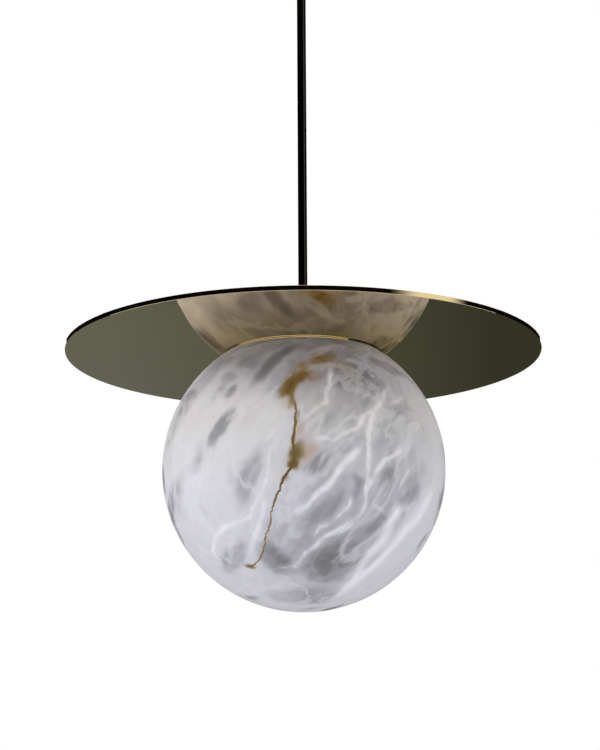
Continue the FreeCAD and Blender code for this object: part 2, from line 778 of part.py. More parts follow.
def supply_flex():
    """Sheathed flex: up the stem, through the cardan joint, over to the clamp."""
    middle = on_arc(flex_bend, flex_turn, flex_bend, 135)
    points = [V(0, 0, flex_bottom), V(0, 0, flex_turn), V(0, flex_bend, flex_level),
              V(0, sheath_end, flex_level)]
    edges = [Part.LineSegment(points[0], points[1]).toShape(),
             Part.Arc(points[1], V(0, *middle), points[2]).toShape(),
             Part.LineSegment(points[2], points[3]).toShape()]
    flex = swept(edges, flex_radius)
    length = sum(edge.Length for edge in edges)
    section = math.pi * flex_radius**2
    print("flex %.1f mm long, bend radius %.1f mm, volume / (section x length) = %.4f"
          % (length, flex_bend, flex.Volume / (section * length)))
    return flex


def fanned_core(start, along, side, run, shift, grip):
    """Core that steps sideways in an S of two equal arcs, then runs straight into its terminal."""
    if abs(shift) < 1e-6:
        return rod(core_radius, start, start + along * (run + grip))
    radius = (run**2 + shift**2) / (4 * abs(shift))
    half = math.atan2(abs(shift), run)
    out = math.copysign(radius * (1 - math.cos(half)), shift)
    ahead = radius * math.sin(half)
    end = start + along * run + side * shift
    middle = (start + end) * 0.5
    edges = [Part.Arc(start, start + along * ahead + side * out, middle).toShape(),
             Part.Arc(middle, end - along * ahead - side * out, end).toShape(),
             Part.LineSegment(end, end + along * grip).toShape()]
    return swept(edges, core_radius)


def flex_cores_top():
    """Live, earth and neutral cores from the sheath's end into the terminals."""
    run = terminal_start - sheath_end
    cores = []
    for pole in pole_places:
        start = pole * core_pitch / terminal_pitch
        cores.append(fanned_core(V(start, sheath_end, flex_level), V(0, 1, 0), V(1, 0, 0), run,
                                 pole - start, terminal_grip))
    return cores


def flex_cores_bottom():
    """Live and neutral cores from the sheath's end into the lampholder's core."""
    run = flex_bottom - core_top
    return [fanned_core(V(i * core_pitch, 0, flex_bottom), V(0, 0, -1), V(1, 0, 0), run,
                        i * (core_terminal_circle - core_pitch), terminal_grip) for i in (-1, 1)]


# --- the pieces, in the order in which they go together ----------------------------

save("mounting_bracket", mounting_bracket())
save("swivel_bolt", swivel_bolt())
save("bolt_washer", tube(bolt_washer_radius, bolt_radius + running_gap, -seat_drop,
                         -seat_drop + bolt_washer_thickness))
save("swivel_yoke", swivel_yoke())
save("gimbal_ring", gimbal_ring())
save("gimbal_pins", *gimbal_pins())
save("swivel_fork", swivel_fork())
save("swivel_ball", swivel_ball())
save("ball_collar", ball_collar())
save("collar_screw", grub_screw(collar_screw_radius, neck_hole, boss_radius - grub_inset,
                                collar_top - collar_height / 2))

save("terminal_block", terminal_block())
save("terminal_screws", *terminal_screws())
save("terminal_fixings", *[shelf_screw(place, fixing_head_radius, fixing_seat)
                           for place in shelf_screws()[:2]])
save("cord_clamp", cord_clamp())
save("clamp_screw", shelf_screw(shelf_screws()[2], small_head_radius, clamp_foot_seat))
save("earth_screw", shelf_screw(shelf_screws()[3], earth_head_radius, bracket_seat))

save("canopy_cup", canopy_cup())
save("canopy_screw_left", canopy_screw(-1))
save("canopy_screw_right", canopy_screw(1))

save("stem_tube", tube(stem_radius, stem_bore, stem_bottom, stem_top))
save("stem_hub", stem_hub())
save("hub_screw", grub_screw(hub_screw_radius, neck_hole, hub_neck_radius - grub_inset,
                             hub_bottom + hub_height - hub_neck_height / 2))
save("hub_felt", tube(hub_radius - felt_inset, neck_hole, disc_top, hub_bottom))
save("mirror_disc", mirror_disc())
save("lock_washer", tube(lock_washer_radius, neck_hole, lock_nut_top, disc_under))
save("lock_nut", chamfered_nut(lock_nut_flats, lock_nut_bottom, lock_nut_top, neck_hole))

save("alabaster_globe", alabaster_globe())
save("fitter_ring", fitter_ring())
save("fitter_gasket", fitter_gasket())
save("globe_studs", *around(globe_stud(), stud_count))
washer = tube(nut_washer_radius, stud_radius + hole_gap, disc_top, nut_bottom)
washer.translate(V(stud_circle, 0, 0))
save("nut_washers", *around(washer, stud_count))
for number, nut in enumerate(around(thumb_nut(), stud_count), start=1):
    save("thumb_nut_%d" % number, nut)

save("holder_cap", holder_cap())
save("holder_core", holder_core())
save("holder_liner", holder_liner())
save("holder_contact", holder_contact())
save("holder_sleeve", holder_sleeve())

save("lamp_cap", lamp_cap())
save("lamp_insulator", lamp_insulator())
save("lamp_contact", lamp_contact())
save("lamp_collar", lamp_collar())
save("lamp_dome", lamp_dome())

save("supply_flex", supply_flex())
save("flex_cores_top", *flex_cores_top())
save("flex_cores_bottom", *flex_cores_bottom())
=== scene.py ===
import math

import bmesh
import bpy
import numpy
from mathutils import Matrix, Vector, noise


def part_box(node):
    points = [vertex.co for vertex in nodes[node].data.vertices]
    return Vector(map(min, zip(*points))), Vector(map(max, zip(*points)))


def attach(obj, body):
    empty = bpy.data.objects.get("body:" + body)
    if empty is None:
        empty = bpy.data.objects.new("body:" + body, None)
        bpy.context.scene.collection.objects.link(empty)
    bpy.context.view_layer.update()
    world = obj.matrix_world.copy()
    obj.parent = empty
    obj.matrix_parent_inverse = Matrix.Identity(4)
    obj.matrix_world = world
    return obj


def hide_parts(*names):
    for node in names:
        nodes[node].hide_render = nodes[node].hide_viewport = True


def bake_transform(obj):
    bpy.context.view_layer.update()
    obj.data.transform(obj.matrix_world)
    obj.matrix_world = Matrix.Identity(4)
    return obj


# Alabaster globe pendant under a polished disc, hung from a rigid stem: what it looks like.
# Everything is in metres, in the frame of the CAD model: the ceiling is z = 0.

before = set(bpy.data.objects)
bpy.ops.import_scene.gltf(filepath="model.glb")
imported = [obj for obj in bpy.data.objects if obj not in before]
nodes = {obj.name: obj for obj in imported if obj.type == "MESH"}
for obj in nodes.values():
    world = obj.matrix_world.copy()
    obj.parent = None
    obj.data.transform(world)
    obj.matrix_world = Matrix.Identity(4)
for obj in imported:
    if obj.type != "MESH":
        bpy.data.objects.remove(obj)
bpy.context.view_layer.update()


# --- camera -----------------------------------------------------------------------
# Where the photographer stood: 2.15 m in front, half a metre below the disc, looking
# slightly up, worked out from the outlines of the disc, the globe and the stem.

picture_width = 600
picture_height = 750
focal_pixels = 2000.0
sensor = 36.0
eye = Vector((-0.0036, -2.0860, -1.0080))
aim = Vector((-0.0036, 0.0, -0.5012))
lean = Vector((0.005, 0.0, 1.0))

sight = (aim - eye).normalized()
rightward = sight.cross(lean).normalized()
upward = rightward.cross(sight)
camera = bpy.data.objects.new("camera", bpy.data.cameras.new("camera"))
camera.data.sensor_width = sensor
camera.data.lens = sensor * focal_pixels / picture_height
camera.matrix_world = (Matrix.Translation(eye)
                       @ Matrix((rightward, upward, -sight)).transposed().to_4x4())
bpy.context.scene.collection.objects.link(camera)
bpy.context.scene.camera = camera


# --- studio -----------------------------------------------------------------------
# A white room with a pale floor and soft lights. Dark screens stand around it, seen only
# in polished metal: a low one that the mirror shows, high ones that edge and stem show, and
# one among them that brightens in the middle, for the glint on the disc's edge.

def photo_colour(red, green, blue):
    """Colour read off the photograph, as the shaders take it."""
    shares = [value / 255 for value in (red, green, blue)]
    linear = [share / 12.92 if share < 0.04045 else ((share + 0.055) / 1.055) ** 2.4
              for share in shares]
    return (*linear, 1.0)


def put(entry, value):
    """Links a wire to a socket, or sets the socket's own value."""
    if isinstance(value, Wire):
        value.tree.links.new(value.socket, entry)
    else:
        entry.default_value = value


class Wire:
    """A value carried from one shader node to the next. Arithmetic on it adds Math nodes."""

    def __init__(self, tree, socket=None):
        self.tree = tree
        self.socket = socket

    def node(self, kind, inputs=None, output=0, stops=None, **settings):
        """Adds a node: its settings and ramp stops first, then its inputs by name or place."""
        made = self.tree.nodes.new("ShaderNode" + kind)
        for name, value in settings.items():
            setattr(made, name, value)
        if stops:
            marks = made.color_ramp.elements
            for _ in stops[2:]:
                marks.new(0.5)
            for mark, (place, colour) in zip(marks, stops):
                mark.position = place
                mark.color = colour if isinstance(colour, tuple) else (colour, colour, colour, 1)
        for key, value in (inputs or {}).items():
            put(made.inputs[key], value)
        return Wire(self.tree, made.outputs[output])

    def math(self, operation, first, second=0.0):
        return self.node("Math", {0: first, 1: second}, operation=operation)

    def mix(self, first, second, factor):
        """Colour between two colours."""
        return self.node("Mix", {0: factor, 6: first, 7: second}, output=2, data_type="RGBA")

    def rise(self, low, high):
        """Smooth step from 0 at low to 1 at high; low may be above high."""
        return self.node("MapRange", {0: self, 1: low, 2: high}, interpolation_type="SMOOTHSTEP")

    def __add__(self, other):
        return self.math("ADD", self, other)

    def __sub__(self, other):
        return self.math("SUBTRACT", self, other)

    def __mul__(self, other):
        return self.math("MULTIPLY", self, other)

    def __truediv__(self, other):
        return self.math("DIVIDE", self, other)

    def __rsub__(self, other):
        return self.math("SUBTRACT", other, self)

    def __rtruediv__(self, other):
        return self.math("DIVIDE", other, self)

    def __abs__(self):
        return self.math("ABSOLUTE", self)

    __radd__ = __add__
    __rmul__ = __mul__


def surface(name, **constants):
    """New material: the material, a wire to make its nodes from, its shader's sockets."""
    made = bpy.data.materials.new(name)
    made.use_nodes = True
    shader = made.node_tree.nodes["Principled BSDF"]
    for key, value in constants.items():
        shader.inputs[key.replace("_", " ")].default_value = value
    return made, Wire(made.node_tree), shader.inputs


def turned(profile, steps, angle=math.tau, closed=False):
    """Mesh turned about the stem's axis from (r, z) points."""
    bm = bmesh.new()
    corners = [bm.verts.new((r, 0, z)) for r, z in profile]
    pairs = list(zip(corners, corners[1:] + corners[:1]))
    edges = [bm.edges.new(pair) for pair in (pairs if closed else pairs[:-1])]
    bmesh.ops.spin(bm, geom=corners + edges, cent=(0, 0, 0), axis=(0, 0, 1), angle=angle,
                   steps=steps, use_merge=angle == math.tau)
    bmesh.ops.remove_doubles(bm, verts=bm.verts, dist=1e-6)
    bmesh.ops.recalc_face_normals(bm, faces=bm.faces)
    return bm


def thing(name, bm, material):
    """Object made of a finished mesh."""
    mesh = bpy.data.meshes.new(name)
    bm.to_mesh(mesh)
    bm.free()
    mesh.materials.append(material)
    made = bpy.data.objects.new(name, mesh)
    bpy.context.scene.collection.objects.link(made)
    return made


def dark_screen(name, radius, low, high, start, end, material):
    """Part of an upright drum, seen in reflections only. Degrees from the front, rightwards."""
    bm = turned([(radius, low), (radius, high)], 48, math.radians(end - start))
    bmesh.ops.rotate(bm, verts=bm.verts, matrix=Matrix.Rotation(math.radians(start - 90), 3, "Z"))
    made = thing(name, bm, material)
    made.visible_camera = False
    made.visible_diffuse = False
    made.visible_shadow = False
    made.visible_transmission = False
    made.visible_volume_scatter = False


def screen_material(name):
    """Material that only shines, and its shining colour's socket."""
    made, wires, sockets = surface(name, Base_Color=(0, 0, 0, 1), Roughness=1.0,
                                   Specular_IOR_Level=0.0, Emission_Strength=1.0)
    return made, wires, sockets["Emission Color"]


screen_radius = 3.0
high_screen_low = -0.48
high_screen_top = 1.6
low_screen, wires, shine = screen_material("low_screen")
place = wires.node("TexCoord", output=3)
across = place.node("SeparateXYZ", {0: place}, output=0)
level = place.node("SeparateXYZ", {0: place}, output=2)
ripple = place.node("TexNoise", {"Vector": place, "Scale": 2.6, "Detail": 3.0})
backdrop = wires.mix((0.141, 0.160, 0.152, 1), (0.0395, 0.0455, 0.0333, 1), across + 0.5)
fringe = (level + ripple * 0.12).rise(-1.30, -1.34) * across.rise(0.05, -0.15)
put(shine, wires.mix(backdrop, (0.015, 0.016, 0.013, 1), fringe))
dark_screen("screen_low", screen_radius, -2.45, -0.5, 68, 253, low_screen)

high_screen, wires, shine = screen_material("high_screen")
place = wires.node("TexCoord", output=3)
grain = place.node("TexNoise", {"Vector": place, "Scale": 1.0})
put(shine, wires.mix((0.001, 0.001, 0.001, 1), (0.005, 0.004, 0.003, 1), grain))
dark_screen("screen_high_right", screen_radius + 0.2, high_screen_low, high_screen_top, 81, 156,
            high_screen)
dark_screen("screen_high_left", screen_radius + 0.2, high_screen_low, high_screen_top, 204, 396,
            high_screen)

glint_screen, wires, shine = screen_material("glint_screen")
place = wires.node("TexCoord", output=3)
depth = place.node("SeparateXYZ", {0: place}, output=1)
glint = depth.rise(-2.55, -1.9) * depth.rise(-0.55, -1.2)
put(shine, wires.mix((0.003, 0.002, 0.002, 1), (0.95, 0.92, 0.84, 1), glint))
dark_screen("screen_glint", screen_radius + 0.25, high_screen_low, high_screen_top, 35, 82,
            glint_screen)

floor_level = -2.5
floor_half = 9.0
pale_floor, wires, sockets = surface("pale_floor", Roughness=0.9)
place = wires.node("TexCoord", output=3)
mottle = place.node("TexNoise", {"Vector": place, "Scale": 0.7, "Detail": 2.0})
put(sockets["Base Color"], wires.mix((0.80, 0.80, 0.80, 1), (0.86, 0.86, 0.86, 1), mottle))
bm = bmesh.new()
bmesh.ops.create_grid(bm, x_segments=8, y_segments=8, size=floor_half)
bmesh.ops.translate(bm, verts=bm.verts, vec=(0, 0, floor_level))
thing("floor", bm, pale_floor)


def soft_light(name, where, size, power, colour):
    """Square soft light that faces the globe."""
    data = bpy.data.lights.new(name, "AREA")
    data.size = size
    data.energy = power
    data.color = colour
    lamp = bpy.data.objects.new(name, data)
    towards = Vector((0, 0, -0.6)) - Vector(where)
    lamp.rotation_mode = "QUATERNION"
    lamp.rotation_quaternion = towards.to_track_quat("-Z", "Y")
    lamp.location = where
    lamp.visible_glossy = False
    lamp.visible_camera = False
    bpy.context.scene.collection.objects.link(lamp)


soft_light("light_left", (-2.6, -0.6, -0.1), 1.6, 22, (0.98, 0.99, 1.0))
soft_light("light_right", (2.4, -1.2, -0.4), 1.6, 7, (1.0, 0.99, 0.97))

room_level = 0.84
world = bpy.data.worlds.new("white_room")
world.use_nodes = True
bpy.context.scene.world = world
wires = Wire(world.node_tree)
paths = [wires.node("LightPath", output=kind)
         for kind in ("Is Camera Ray", "Is Glossy Ray", "Is Transmission Ray")]
seen = paths[0].math("MAXIMUM", paths[0], paths[1].math("MAXIMUM", paths[1], paths[2]))
put(world.node_tree.nodes["Background"].inputs["Color"], (1, 1, 1, 1))
put(world.node_tree.nodes["Background"].inputs["Strength"], seen * (1 - room_level) + room_level)
bpy.context.scene.view_settings.view_transform = "Standard"


# --- ceiling bracket --------------------------------------------------------------
# Bent strip of zinc-plated steel with its bolt, washer, terminals, cord clamp and screws.
# The strip is punched and folded, the terminal block and the clamp are moulded nylon.

def paint(material, *names):
    """Gives CAD nodes a better material."""
    for name in names:
        for holder in nodes[name].material_slots:
            holder.material = material


def fitted(name, bm, material, body, finish, *stands_for):
    """New piece in place: it rides on a body and stands for the CAD nodes that it replaces."""
    made = thing(name, bm, material)
    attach(made, body)
    if stands_for:
        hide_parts(*stands_for)
    return made


def grained(name, dark, light, grain_size, smoothest, roughest, relief=0.0, **constants):
    """Material whose colour, roughness and relief vary together with a fine grain."""
    made, wires, sockets = surface(name, **constants)
    place = wires.node("TexCoord", output=3)
    grain = place.node("TexNoise", {"Vector": place, "Scale": 1 / grain_size, "Detail": 5.0})
    share = grain.rise(0.3, 0.7)
    put(sockets["Base Color"], wires.mix(photo_colour(*dark), photo_colour(*light), share))
    put(sockets["Roughness"], share * (roughest - smoothest) + smoothest)
    if relief:
        put(sockets["Normal"], wires.node("Bump", {"Strength": 0.5, "Distance": relief,
                                                   "Height": grain}))
    return made


zinc_steel = grained("zinc_steel", (176, 178, 182), (208, 209, 212), 0.006, 0.28, 0.38,
                     Metallic=1.0)
white_nylon = grained("white_nylon", (226, 225, 220), (238, 237, 233), 0.004, 0.36, 0.46,
                      0.00002)
gold_brass = grained("gold_brass", (240, 218, 172), (248, 230, 190), 0.006, 0.12, 0.24,
                     Metallic=1.0)
paint(zinc_steel, "mounting_bracket", "swivel_bolt", "bolt_washer", "terminal_screws",
      "terminal_fixings", "clamp_screw")
paint(white_nylon, "terminal_block", "cord_clamp")
paint(gold_brass, "earth_screw")


# --- cores of the flex --------------------------------------------------------------
# Copper strand in coloured insulation: brown live, green and yellow earth, blue neutral.
# They fan out from the ends of the sheath to the terminals, bent by hand.

def drawn(points, radius, sides):
    """Mesh of a round cord drawn along a path of points and closed at both ends."""
    points = [Vector(point) for point in points]
    ways = [(after - before).normalized()
            for before, after in zip(points[:1] + points[:-1], points[1:] + points[-1:])]
    bm = bmesh.new()
    facing_way = Vector((0, 0, 1)).rotation_difference(ways[0]).to_matrix().to_4x4()
    bmesh.ops.create_circle(bm, segments=sides, radius=radius,
                            matrix=Matrix.Translation(points[0]) @ facing_way)
    ring = bm.edges[:]
    for before, after, way, next_way in zip(points, points[1:], ways, ways[1:]):
        made = bmesh.ops.extrude_edge_only(bm, edges=ring)["geom"]
        corners = [part for part in made if isinstance(part, bmesh.types.BMVert)]
        turn = way.rotation_difference(next_way).to_matrix().to_4x4()
        bmesh.ops.transform(bm, verts=corners, matrix=Matrix.Translation(after) @ turn
                            @ Matrix.Translation(-before))
        ring = [part for part in made if isinstance(part, bmesh.types.BMEdge) and part.is_boundary]
    bmesh.ops.holes_fill(bm, edges=[edge for edge in bm.edges if edge.is_boundary])
    bmesh.ops.recalc_face_normals(bm, faces=bm.faces)
    for face in bm.faces:
        face.smooth = len(face.verts) == 4
    return bm


core_radius = 0.0008
core_pitch = 0.00165
core_sides = 12
fan_steps = 14


def fanned(start, along, run, shift, grip):
    """Path of a core that steps sideways in an S, then runs straight into its terminal."""
    shares = [step / fan_steps for step in range(fan_steps + 1)]
    path = [start + along * run * share + Vector((shift, 0, 0)) * share * share * (3 - 2 * share)
            for share in shares]
    return path + [path[-1] + along * grip]


def insulation(name, dark, light, stripe=None):
    """PVC of one colour, or with a stripe down its right half."""
    made, wires, sockets = surface(name)
    place = wires.node("TexCoord", output=3)
    grain = place.node("TexNoise", {"Vector": place, "Scale": 400.0})
    shown = wires.mix(photo_colour(*dark), photo_colour(*light), grain)
    if stripe:
        across = place.node("SeparateXYZ", {0: place}, output=0)
        shown = wires.mix(shown, photo_colour(*stripe), across.rise(-0.00005, 0.00005))
    put(sockets["Base Color"], shown)
    put(sockets["Roughness"], grain * 0.12 + 0.34)
    return made


live_brown = insulation("live_brown", (98, 60, 42), (112, 70, 50))
earth_stripes = insulation("earth_stripes", (58, 122, 54), (70, 136, 64), (216, 198, 56))
neutral_blue = insulation("neutral_blue", (40, 86, 152), (50, 98, 168))

sheath_low, sheath_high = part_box("supply_flex")
sheath_level = sheath_high.z - sheath_high.x
block_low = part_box("terminal_block")[0]
top_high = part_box("flex_cores_top")[1]
for pole, finish in ((-1, live_brown), (0, earth_stripes), (1, neutral_blue)):
    path = fanned(Vector((pole * core_pitch, sheath_high.y, sheath_level)), Vector((0, 1, 0)),
                  block_low.y - sheath_high.y, pole * (top_high.x - core_radius - core_pitch),
                  top_high.y - block_low.y)
    fitted(f"core_top_{pole + 2}", drawn(path, core_radius, core_sides), finish,
           "ceiling_bracket", "core_insulation", "flex_cores_top")
low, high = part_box("flex_cores_bottom")
core_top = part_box("holder_core")[1].z
for pole, finish in ((-1, live_brown), (1, neutral_blue)):
    path = fanned(Vector((pole * core_pitch, 0, sheath_low.z)), Vector((0, 0, -1)),
                  sheath_low.z - core_top, pole * (high.x - core_radius - core_pitch),
                  core_top - low.z)
    fitted(f"core_bottom_{(pole + 3) // 2}", drawn(path, core_radius, core_sides), finish,
           "stem", "core_insulation", "flex_cores_bottom")


# --- cardan swivel ------------------------------------------------------------------
# Zinc-plated yoke, ring, four pins and fork, pressed together on crossed axes. The thin
# ball that covers them and its collar are brass, blackened and polished.

dark_bronze = grained("dark_bronze", (58, 54, 51), (62, 58, 55), 0.02, 0.10, 0.14,
                      Metallic=1.0)
paint(zinc_steel, "swivel_yoke", "gimbal_ring", "gimbal_pins", "swivel_fork", "collar_screw")
paint(dark_bronze, "swivel_ball", "ball_collar")


# --- canopy -------------------------------------------------------------------------
# Spun brass cup, blackened and polished. Two side screws hold it to the bracket's tabs.

paint(dark_bronze, "canopy_cup", "canopy_screw_left", "canopy_screw_right")


# --- stem ---------------------------------------------------------------------------
# Drawn metal tube, 10 mm outside, blackened and polished. Its top end sits in the socket
# of the swivel's fork, and the ball's collar is clamped on it.

paint(dark_bronze, "stem_tube")


# --- flex ---------------------------------------------------------------------------
# Round PVC flex, 5 mm, held by the clamp. It bends down through the joint into the stem,
# drawn as two lengths that meet at the pivot.

ring_low, ring_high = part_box("gimbal_ring")
pivot_level = (ring_low.z + ring_high.z) / 2
flex_radius = sheath_high.x
flex_bend = 0.020
bend_steps = 18
flex_sides = 24
blend_length = 0.030


def flex_piece(name, path):
    """Length of flex drawn along a path, in place of the CAD flex."""
    made = thing(name, drawn(path, flex_radius, flex_sides), black_flex)
    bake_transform(made)
    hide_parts("supply_flex")


black_flex = grained("black_flex", (26, 26, 27), (34, 34, 35), 0.0015, 0.38, 0.5, 0.00002)
straight = numpy.concatenate([numpy.linspace(pivot_level, pivot_level - blend_length, 13),
                              numpy.linspace(pivot_level - blend_length, sheath_low.z, 40)[1:]])
flex_piece("flex_in_stem", [(0, 0, level) for level in straight])
bent_path = [(0, flex_bend * (1 - math.cos(angle)),
              sheath_level - flex_bend * (1 - math.sin(angle)))
             for angle in numpy.linspace(0, math.pi / 2, bend_steps + 1)]
level_path = [(0, y, sheath_level) for y in numpy.linspace(flex_bend, sheath_high.y, 4)[1:]]
flex_piece("flex_to_clamp", [(0, 0, pivot_level)] + bent_path + level_path)


# --- mirror disc --------------------------------------------------------------------
# Aluminium plate, 5 mm, turned, polished to a mirror and tinted bronze. Underneath, round the
# stone, amber streaks are painted into its colour: a painted reflection of the stone.

mirror, wires, sockets = surface("mirror_bronze", Metallic=1.0)
place = wires.node("TexCoord", output=3)
haze = place.node("TexNoise", {"Vector": place, "Scale": 6.0, "Detail": 4.0})
x, y, z = [place.node("SeparateXYZ", {0: place}, output=part) for part in (0, 1, 2)]
disc_low, disc_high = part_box("mirror_disc")
underside = z.math("LESS_THAN", z, (disc_low.z + disc_high.z) / 2)
radius = place.math("SQRT", x * x + y * y)
# Painted reflection: amber streaks on the underside, round the stone, stand in for the stone's
# reflection in the mirror.
streaks = place.node("TexNoise", {"Vector": place, "Scale": 28.0, "Detail": 4.0, "Roughness": 0.6})
tint = wires.mix((0.80, 0.65, 0.37, 1), (0.83, 0.67, 0.39, 1), haze)
put(sockets["Base Color"], wires.mix(tint, (0.86, 0.68, 0.22, 1),
                                     radius.rise(0.19, 0.09) * streaks.rise(0.42, 0.62)
                                     * underside * 0.7))
put(sockets["Roughness"], haze * 0.02 + 0.015)
paint(mirror, "mirror_disc")


# --- hub ----------------------------------------------------------------------------
# Turned hub with a felt under it that holds the disc square to the stem from above. A
# washer and a nut hold it from below.

dark_felt = grained("dark_felt", (28, 27, 27), (58, 56, 55), 0.0006, 0.85, 1.0, 0.0004,
                    Sheen_Weight=0.4)
paint(dark_bronze, "stem_hub")
paint(zinc_steel, "hub_screw", "lock_washer", "lock_nut")


def bore(name):
    """Radius of the hole through a CAD ring."""
    return min(math.hypot(*corner.co[:2]) for corner in nodes[name].data.vertices)


face_gap = 0.00002
felt_bulge = 0.00015


def pressed_ring(name, material, body, finish, stands_for, rounding):
    """Soft ring squeezed between two flat faces, so that its edge bulges."""
    low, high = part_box(stands_for)
    high.z -= face_gap
    outer, inner, middle = high.x, bore(stands_for), (low.z + high.z) / 2
    rim = [(inner + rounding, low.z), (outer - rounding, low.z), (outer, middle),
           (outer - rounding, high.z), (inner + rounding, high.z), (inner, middle)]
    fitted(name, turned(rim, 96, closed=True), material, body, finish, stands_for)


pressed_ring("felt_ring", dark_felt, "stem", "dark_felt", "hub_felt", felt_bulge)


# --- lampholder ---------------------------------------------------------------------
# Moulded black phenolic cap and sleeve round a white ceramic core, with a brass screw
# shell and tongue. It screws onto the stem's end.

black_phenolic = grained("black_phenolic", (25, 24, 24), (30, 29, 28), 0.006, 0.24, 0.32,
                         0.00001)
white_ceramic = grained("white_ceramic", (224, 221, 214), (236, 234, 228), 0.005, 0.18, 0.3,
                        0.00003, Coat_Weight=0.4)
paint(black_phenolic, "holder_cap", "holder_sleeve")
paint(white_ceramic, "holder_core")
paint(gold_brass, "holder_liner", "holder_contact")


# --- globe ------------------------------------------------------------------------
# Alabaster, turned hollow with an 8 mm wall and cut off flat at the top. Pale stone with
# grey lenses between white veins, and one brown vein down the front.

stone_low, stone_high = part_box("alabaster_globe")
globe_radius = (stone_high.x - stone_low.x) / 2
globe_wall = 0.008
globe_centre = Vector((0, 0, stone_low.z + globe_radius))
cut_height = stone_high.z - globe_centre.z
outer_steps = 150
inner_steps = 40
round_steps = 360

# Grey lenses as the picture shows them: pixel, half length and half width in pixels,
# turn in degrees from rightwards to upwards, and how dark.
grey_lenses = [
    (220, 429, 22, 7, 45, 0.55), (250, 474, 32, 13, 65, 0.36), (196, 461, 10, 5, 50, 0.22),
    (181, 485, 9, 8, 30, 0.20), (229, 394, 7, 4, 60, 0.42), (218, 393, 8, 4, 60, 0.28),
    (188, 396, 9, 5, 60, 0.30), (183, 409, 8, 4, 60, 0.26), (206, 377, 15, 6, 20, 0.24),
    (227, 379, 8, 5, 40, 0.22), (275, 361, 18, 6, 70, 0.55), (250, 361, 9, 7, 40, 0.30),
    (322, 352, 12, 5, 0, 0.30), (352, 377, 20, 14, 20, 0.50), (389, 367, 8, 5, 30, 0.30),
    (322, 459, 17, 12, 50, 0.42), (328, 507, 22, 9, 45, 0.24), (391, 476, 12, 8, 55, 0.22),
    (412, 493, 13, 5, 60, 0.20), (372, 522, 16, 11, 50, 0.16), (332, 551, 8, 9, 60, 0.26),
    (341, 564, 28, 22, 40, 0.26), (276, 560, 10, 17, 20, 0.38), (232, 558, 17, 10, 50, 0.30),
    (313, 576, 6, 3, 40, 0.20), (310, 597, 36, 8, 0, 0.36), (345, 446, 6, 5, 30, 0.24),
    (360, 478, 6, 9, 60, 0.22), (397, 421, 15, 14, 50, 0.16), (177, 501, 7, 7, 40, 0.16),
    (284, 505, 4, 6, 70, 0.24), (378, 555, 12, 4, 55, 0.20), (362, 475, 112, 74, 55, 0.30),
    (305, 350, 80, 24, 0, 0.34), (330, 545, 60, 40, 35, 0.16),
]

# White veins: how bright, half width in pixels, and the pixels that they pass.
white_veins = [
    (0.9, 2.2, [(332, 361), (329, 382), (327, 402), (316, 407), (307, 417), (301, 422)]),
    (0.8, 1.8, [(313, 442), (322, 438), (334, 441), (343, 434), (357, 426), (366, 415),
                (380, 405), (387, 392)]),
    (1.0, 2.6, [(362, 444), (351, 459), (338, 472), (326, 488), (315, 495), (303, 506),
                (292, 518)]),
    (0.9, 2.0, [(389, 388), (376, 409), (366, 432), (370, 455), (368, 478), (366, 497),
                (359, 514), (341, 528), (322, 541), (307, 553), (295, 566), (284, 581)]),
    (0.8, 1.8, [(414, 447), (399, 451), (385, 461), (376, 474), (368, 491), (364, 507),
                (353, 524), (334, 537)]),
    (0.7, 1.6, [(353, 491), (349, 505), (338, 516), (322, 528), (313, 541)]),
    (0.7, 1.6, [(370, 503), (383, 511), (386, 516)]),
    (0.9, 5.5, [(434, 486), (424, 508), (408, 528), (390, 548), (372, 566), (352, 584),
                (334, 599)]),
    (1.0, 4.5, [(397, 497), (396, 513), (387, 532), (380, 543), (366, 558), (357, 576),
                (341, 593), (332, 601)]),
    (0.6, 1.6, [(414, 463), (404, 478), (397, 493)]),
    (0.6, 1.6, [(284, 421), (272, 432), (263, 444)]),
    (0.8, 2.0, [(269, 447), (270, 467), (265, 486), (253, 507), (250, 516), (234, 522),
                (223, 528), (215, 537), (213, 551), (217, 560)]),
    (0.8, 2.6, [(267, 497), (257, 532), (250, 555)]),
    (0.6, 1.6, [(301, 482), (303, 493)]),
    (0.7, 1.8, [(387, 405), (397, 402), (404, 394)]),
]

# The brown vein's line, and its blots: pixel, half sizes, turn, and how strong.
brown_line = [(318, 352), (303, 371), (290, 387), (292, 398), (295, 409), (296, 421),
              (292, 435), (295, 454), (293, 465), (284, 478), (280, 488), (275, 500),
              (271, 511), (270, 523), (267, 536), (266, 544), (261, 557), (255, 564),
              (249, 566)]
brown_blots = [
    (316, 360, 14, 6, 42, 0.60), (313, 384, 18, 4, 62, 0.30), (298, 378, 14, 8, 50, 0.85),
    (288, 390, 9, 7, 60, 0.85), (291, 400, 8, 4, 80, 0.50), (297, 414, 7, 3, 85, 0.50),
    (296, 453, 13, 8, 75, 0.75), (293, 464, 5, 4, 40, 0.85), (284, 478, 5, 3, 50, 0.55),
    (267, 536, 3, 2, 70, 0.50), (250, 566, 5, 3, 20, 0.80), (340, 366, 16, 9, 10, 0.25),
]
rosy_blots = [(303, 450, 12, 8, 40, 0.8), (297, 430, 9, 5, 80, 0.4), (290, 400, 10, 6, 80, 0.4)]


def on_stone(x, y):
    """Place on the globe that shows at a pixel. Beyond the outline it is the outline."""
    ray = (sight * focal_pixels + rightward * (x - picture_width / 2)
           - upward * (y - picture_height / 2)).normalized()
    to_centre = globe_centre - eye
    along = ray.dot(to_centre)
    sideways = (to_centre - ray * along).length
    depth = math.sqrt(max(globe_radius ** 2 - sideways ** 2, 0))
    return globe_centre + (eye + ray * (along - depth) - globe_centre).normalized() * globe_radius


